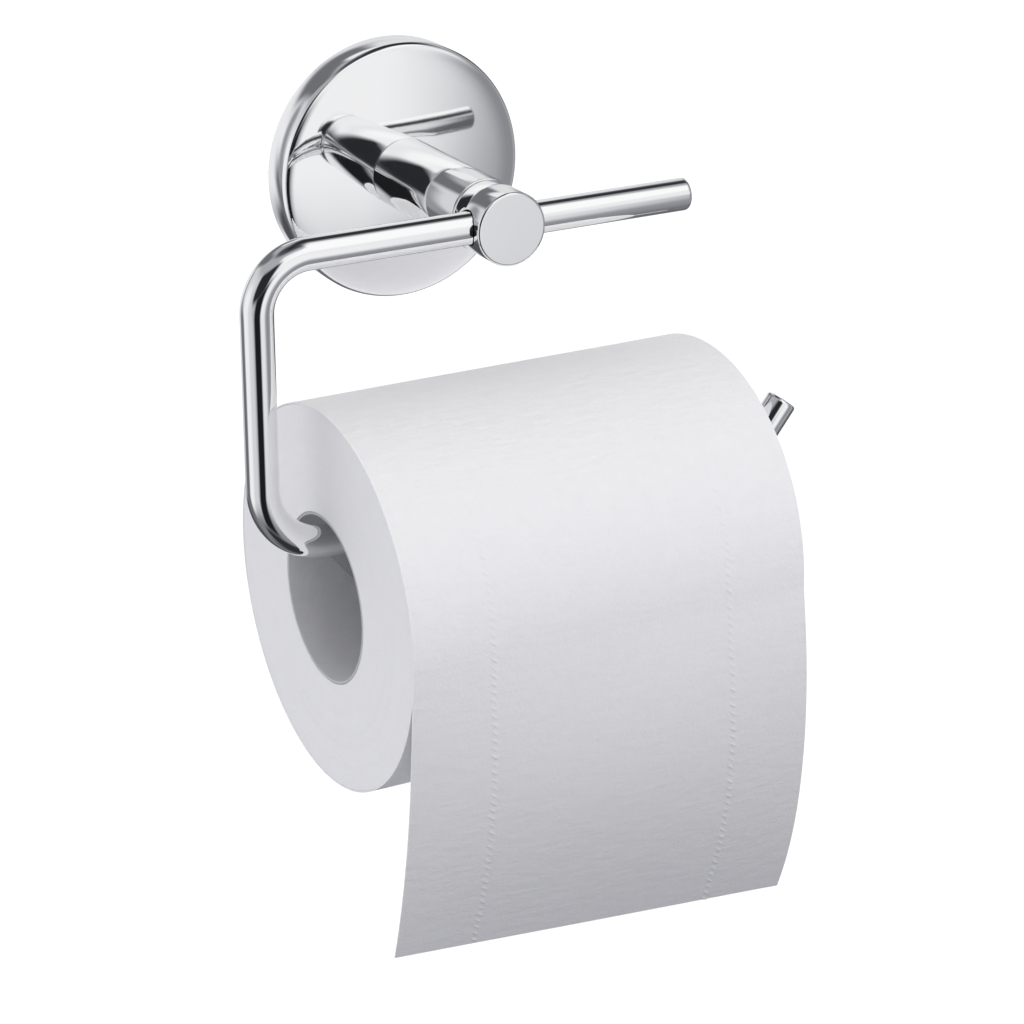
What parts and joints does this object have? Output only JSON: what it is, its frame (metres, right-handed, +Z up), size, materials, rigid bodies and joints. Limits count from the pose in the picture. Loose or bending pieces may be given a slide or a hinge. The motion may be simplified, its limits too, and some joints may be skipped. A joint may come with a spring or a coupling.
{
  "type": "toilet paper holder",
  "caption": "wall-mounted toilet paper holder: a round flange and post carry one bent bar through a cross-bored head, and a loaded roll hangs on the bar's lower run",
  "frame": {"origin": "centre of the round flange, in the plane of the wall", "axes": "+X to the right along the bar and the roll's axis, +Y into the wall, +Z up"},
  "size_m": [0.1515, 0.1362, 0.2054],
  "materials": {
    "polished_chrome": "mirror-polished chrome plate",
    "bracket_steel": "pressed, zinc-plated steel",
    "screw_steel": "satin, as machined",
    "plug_nylon": "matte moulded nylon",
    "core_card": "matte grey card",
    "tissue_paper": "matte, soft embossed tissue"
  },
  "bodies": {
    "mount": {"wall_bracket": "bracket_steel", "bracket_screw_left": "screw_steel", "bracket_screw_right": "screw_steel", "wall_plug_left": "plug_nylon", "wall_plug_right": "plug_nylon", "flange_cover": "polished_chrome", "flange_set_screw": "screw_steel", "post": "polished_chrome", "post_bolt": "screw_steel", "post_washer": "screw_steel", "locating_pin": "screw_steel", "spacer_ring": "polished_chrome", "head": "polished_chrome", "head_stud": "screw_steel", "holder_arm": "polished_chrome"},
    "wrap": {"outer_wrap": "tissue_paper"},
    "roll": {"core_tube": "core_card", "paper_winding": "tissue_paper"},
    "tail": {"hanging_sheet": "tissue_paper"}
  },
  "joints": [
    {"name": "roll_slide", "type": "slide", "parent": "mount", "child": "wrap", "axis": [1, 0, 0], "range_m": [-0.002, 0.008]},
    {"name": "roll_spin", "type": "hinge", "parent": "wrap", "child": "roll", "pos_m": [0.00475, -0.0605, -0.0865], "axis": [1, 0, 0], "continuous": true},
    {"name": "sheet_swing", "type": "hinge", "parent": "wrap", "child": "tail", "pos_m": [0.00475, -0.1079, -0.0865], "axis": [1, 0, 0], "range_deg": [-35, 0]}
  ]
}
